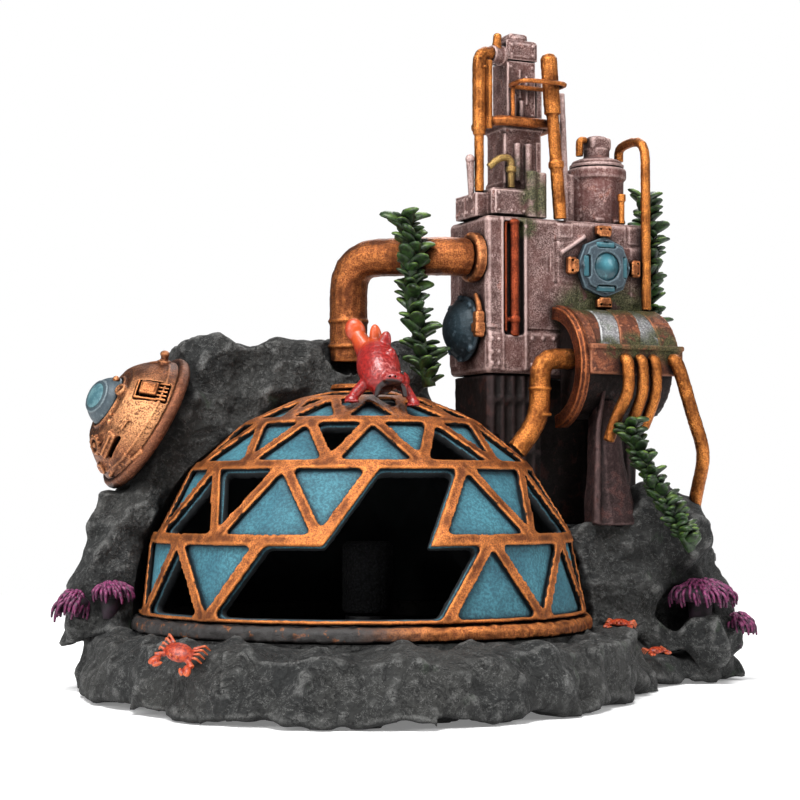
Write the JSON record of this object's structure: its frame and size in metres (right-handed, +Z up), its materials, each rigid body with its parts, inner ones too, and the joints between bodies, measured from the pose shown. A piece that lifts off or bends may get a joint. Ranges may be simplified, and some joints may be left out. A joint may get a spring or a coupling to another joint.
{
  "type": "bubbling ornament",
  "caption": "Aquarium bubbling ornament: latticed dome and riveted pipe tower on a rock base, with an air stone inside the dome fed through a duct in the base.",
  "frame": {"origin": "on the flat underside of the rock base, near its middle", "axes": "+X to the right seen from the front, +Y towards the back, +Z up"},
  "size_m": [0.2126, 0.1841, 0.204],
  "materials": {
    "rock": "matt painted resin, dry-brushed grey stone",
    "copper": "metallic copper paint on resin",
    "teal_panel": "speckled teal paint on resin",
    "mauve_metal": "worn mauve metal paint on resin",
    "dark_metal": "dark washed metal paint on resin",
    "red_copper": "red-brown copper paint on resin",
    "lens": "satin teal paint on resin",
    "slate": "slate blue paint on resin",
    "hose_plastic": "black plastic",
    "pumice": "porous bonded grit",
    "red_skin": "glossy red paint on resin",
    "orange_shell": "orange paint on resin",
    "magenta": "magenta paint on resin",
    "leaf": "green paint on resin"
  },
  "bodies": {
    "ornament": {"rock_base": "rock", "left_crag": "rock", "right_crag": "rock", "dome_sill_ring": "copper", "dome_lattice": "copper", "dome_shell": "teal_panel", "dome_crown": "copper", "air_inlet_barb": "hose_plastic", "air_line": "hose_plastic", "air_elbow": "hose_plastic", "tower_footing": "dark_metal", "tower_leg": "mauve_metal", "tower_box": "mauve_metal", "corner_pipe": "red_copper", "tower_drum": "dark_metal", "drum_hood": "red_copper", "drum_end_ring": "red_copper", "roof_plinth": "mauve_metal", "stack_column": "mauve_metal", "stack_cap": "mauve_metal", "stack_pipe_left": "copper", "stack_pipe_right": "copper", "stack_rail": "copper", "stack_clamp": "copper", "stack_arch_pipe": "copper", "tank_body": "mauve_metal", "tank_lid": "mauve_metal", "tank_vent_pipe": "copper", "tank_return_pipe": "copper", "tank_drain_pipe": "red_copper", "hatch_frame": "slate", "hatch_lens": "lens", "hatch_clamp_top": "copper", "hatch_clamp_bottom": "copper", "hatch_clamp_left": "copper", "hatch_clamp_right": "copper", "side_port_dome": "slate", "side_port_clamp": "copper", "main_pipe_flange": "copper", "main_pipe": "copper", "dome_feed_pipe": "copper", "exhaust_pipe_1": "copper", "exhaust_pipe_2": "copper", "exhaust_pipe_3": "copper", "exhaust_pipe_long": "copper", "pod_rim": "red_copper", "pod_shell": "copper", "pod_lens": "slate", "pod_hatch": "copper", "handfish": "red_skin", "crab_front": "orange_shell", "crab_middle": "orange_shell", "crab_right": "orange_shell", "anemone_right": "magenta", "anemone_right_small": "magenta", "anemone_left": "magenta", "pipe_vine": "leaf", "tower_vine": "leaf", "ledge_plant": "leaf"},
    "air_stone": {"air_stone": "pumice"}
  },
  "joints": [
    {"name": "air_stone_lift", "type": "slide", "parent": "ornament", "child": "air_stone", "axis": [0, 0, 1], "range_m": [0, 0.03]}
  ]
}
